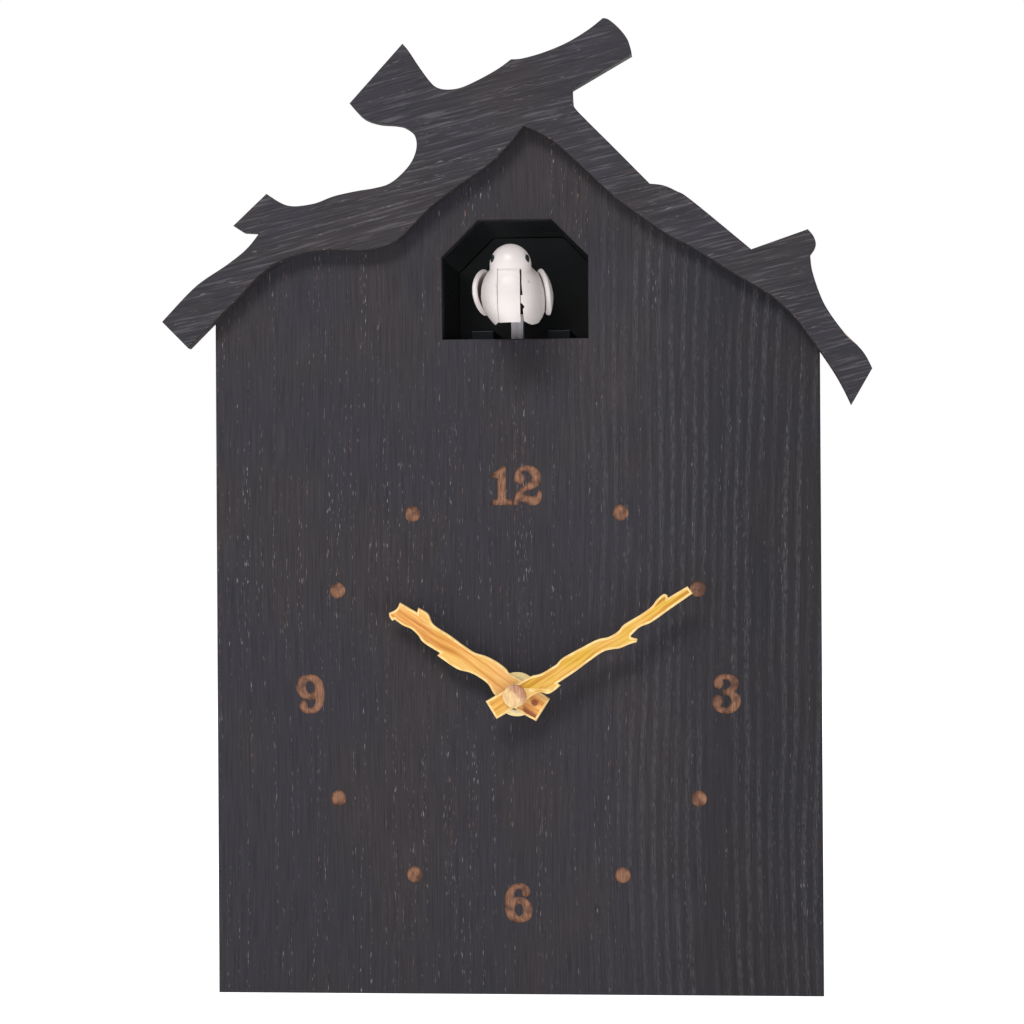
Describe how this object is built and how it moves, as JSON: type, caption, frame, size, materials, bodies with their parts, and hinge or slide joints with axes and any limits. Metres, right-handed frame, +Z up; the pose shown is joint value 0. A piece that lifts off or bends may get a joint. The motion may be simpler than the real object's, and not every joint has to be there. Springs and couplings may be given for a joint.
{
  "type": "cuckoo clock",
  "caption": "Wall clock shaped like a bird house, with a bird that slides out of a window, twig hands, and a quartz movement inside.",
  "frame": {"origin": "underside of the bottom board, at the middle of the case's footprint without the branch and the bird", "axes": "+Z up towards the gable, the dial faces -Y, and +X is to the right of someone looking at the dial"},
  "size_m": [0.193, 0.1036, 0.265],
  "materials": {
    "stained_wood": "black-stained veneered board, open grain, satin",
    "twig_wood": "thin golden plywood with pale cut edges",
    "white_plastic": "white moulded plastic, soft gloss",
    "gloss_black_plastic": "black moulded plastic, glossy",
    "matt_black_plastic": "black moulded plastic, fine texture",
    "cream_plastic": "cream moulded plastic",
    "gear_plastic": "natural acetal",
    "circuit_board": "green solder resist",
    "steel": "zinc plated",
    "brass": "turned",
    "copper_coil": "enamelled copper wire on an iron core",
    "speaker_paper": "black pressed paper",
    "battery_wrap": "plain printed sleeve",
    "lead_insulation": "soft PVC"
  },
  "bodies": {
    "case": {"front_panel": "stained_wood", "roof_branch_plate": "stained_wood", "left_wall": "stained_wood", "right_wall": "stained_wood", "left_roof_board": "stained_wood", "right_roof_board": "stained_wood", "bottom_panel": "stained_wood", "back_cover": "matt_black_plastic", "back_screw_1": "steel", "back_screw_2": "steel", "back_screw_3": "steel", "back_screw_4": "steel", "hanger_plate": "steel", "window_tunnel": "gloss_black_plastic", "stage_deck": "gloss_black_plastic", "carriage_guide": "matt_black_plastic", "bird_motor": "steel", "movement_front_case": "gloss_black_plastic", "movement_rear_case": "gloss_black_plastic", "stator_coil": "copper_coil", "dial_washer": "cream_plastic", "bushing_nut": "cream_plastic", "battery_box": "matt_black_plastic", "battery_1": "battery_wrap", "battery_2": "battery_wrap", "battery_3": "battery_wrap", "circuit_board": "circuit_board", "speaker_frame": "steel", "speaker_cone": "speaker_paper", "speaker_magnet": "steel", "battery_lead": "lead_insulation", "motor_lead": "lead_insulation", "movement_lead": "lead_insulation", "speaker_lead": "lead_insulation"},
    "bird": {"bird_carriage": "gear_plastic", "bird_stem": "white_plastic", "left_shell": "white_plastic", "right_shell": "white_plastic", "bird_head": "white_plastic"},
    "beak": {"beak_lever": "white_plastic"},
    "left_wing": {"left_wing": "white_plastic"},
    "right_wing": {"right_wing": "white_plastic"},
    "reduction_gear": {"reduction_gear": "gear_plastic"},
    "motor_pinion": {"motor_pinion": "brass"},
    "minute_train": {"minute_arbor": "brass", "minute_hand": "twig_wood", "hand_cap": "cream_plastic"},
    "hour_train": {"hour_wheel": "gear_plastic", "hour_hand": "twig_wood"},
    "minute_wheel": {"minute_wheel": "gear_plastic"},
    "setting_knob": {"setting_knob": "matt_black_plastic"},
    "rotor": {"rotor": "steel"},
    "intermediate_wheel": {"intermediate_wheel": "gear_plastic"},
    "seconds_wheel": {"seconds_wheel": "gear_plastic"},
    "third_wheel": {"third_wheel": "gear_plastic"},
    "centre_wheel": {"centre_wheel": "gear_plastic"},
    "battery_door": {"battery_door": "matt_black_plastic"},
    "volume_slider": {"volume_slider": "matt_black_plastic"},
    "test_button": {"test_button": "matt_black_plastic"}
  },
  "joints": [
    {"name": "bird_slide", "type": "slide", "parent": "case", "child": "bird", "axis": [0, 1, 0], "range_m": [0, 0.03]},
    {"name": "beak_hinge", "type": "hinge", "parent": "bird", "child": "beak", "pos_m": [0, -0.0545, 0.1838], "axis": [1, 0, 0], "range_deg": [0, 9], "stiffness_Nm_per_rad": 0.002},
    {"name": "left_wing_hinge", "type": "hinge", "parent": "bird", "child": "left_wing", "pos_m": [-0.0074, -0.043, 0.1966], "axis": [0, 1, 0], "range_deg": [0, 30], "stiffness_Nm_per_rad": 0.002},
    {"name": "right_wing_hinge", "type": "hinge", "parent": "bird", "child": "right_wing", "pos_m": [0.0074, -0.043, 0.1966], "axis": [0, -1, 0], "range_deg": [0, 30], "stiffness_Nm_per_rad": 0.002},
    {"name": "reduction_gear_spin", "type": "hinge", "parent": "case", "child": "reduction_gear", "pos_m": [0.011, 0, 0.17], "axis": [0, 0, -1], "range_deg": [-1, 431]},
    {"name": "motor_pinion_spin", "type": "hinge", "parent": "case", "child": "motor_pinion", "pos_m": [0.0205, 0, 0.165], "axis": [0, 0, -1], "range_deg": [-1613, 2]},
    {"name": "minute_spin", "type": "hinge", "parent": "case", "child": "minute_train", "pos_m": [0, -0.04, 0.0819], "axis": [0, 1, 0], "continuous": true},
    {"name": "hour_spin", "type": "hinge", "parent": "case", "child": "hour_train", "pos_m": [0, -0.04, 0.0819], "axis": [0, 1, 0], "continuous": true},
    {"name": "minute_wheel_spin", "type": "hinge", "parent": "case", "child": "minute_wheel", "pos_m": [0.0056, -0.025, 0.0916], "axis": [0, 1, 0], "continuous": true},
    {"name": "setting_knob_spin", "type": "hinge", "parent": "case", "child": "setting_knob", "pos_m": [0.01324, -0.025, 0.08396], "axis": [0, 1, 0], "continuous": true},
    {"name": "rotor_spin", "type": "hinge", "parent": "case", "child": "rotor", "pos_m": [-0.01336, -0.025, 0.09221], "axis": [0, 1, 0], "continuous": true},
    {"name": "intermediate_wheel_spin", "type": "hinge", "parent": "case", "child": "intermediate_wheel", "pos_m": [-0.01711, -0.025, 0.08571], "axis": [0, 1, 0], "continuous": true},
    {"name": "seconds_wheel_spin", "type": "hinge", "parent": "case", "child": "seconds_wheel", "pos_m": [-0.01711, -0.025, 0.07661], "axis": [0, 1, 0], "continuous": true},
    {"name": "third_wheel_spin", "type": "hinge", "parent": "case", "child": "third_wheel", "pos_m": [-0.00721, -0.025, 0.07469], "axis": [0, 1, 0], "continuous": true},
    {"name": "centre_wheel_spin", "type": "hinge", "parent": "case", "child": "centre_wheel", "pos_m": [0, -0.025, 0.0819], "axis": [0, 1, 0], "continuous": true},
    {"name": "battery_door_slide", "type": "slide", "parent": "case", "child": "battery_door", "axis": [1, 0, 0], "range_m": [0, 0.034]},
    {"name": "volume_slide", "type": "slide", "parent": "case", "child": "volume_slider", "axis": [0, 0, 1], "range_m": [-0.004, 0.004]},
    {"name": "test_button_press", "type": "slide", "parent": "case", "child": "test_button", "axis": [0, -1, 0], "range_m": [0, 0.0014], "stiffness_N_per_m": 300}
  ],
  "couplings": [
    {"joint": "reduction_gear_spin", "follows": "bird_slide", "rad_per_m": 250},
    {"joint": "motor_pinion_spin", "follows": "bird_slide", "rad_per_m": -937.5},
    {"joint": "hour_spin", "follows": "minute_spin", "ratio": 0.083333},
    {"joint": "minute_wheel_spin", "follows": "minute_spin", "ratio": -0.33333},
    {"joint": "setting_knob_spin", "follows": "minute_spin", "ratio": 1.1667},
    {"joint": "intermediate_wheel_spin", "follows": "rotor_spin", "ratio": -0.2},
    {"joint": "seconds_wheel_spin", "follows": "rotor_spin", "ratio": 0.033333},
    {"joint": "third_wheel_spin", "follows": "rotor_spin", "ratio": -0.0041667},
    {"joint": "centre_wheel_spin", "follows": "rotor_spin", "ratio": 0.00055556}
  ]
}
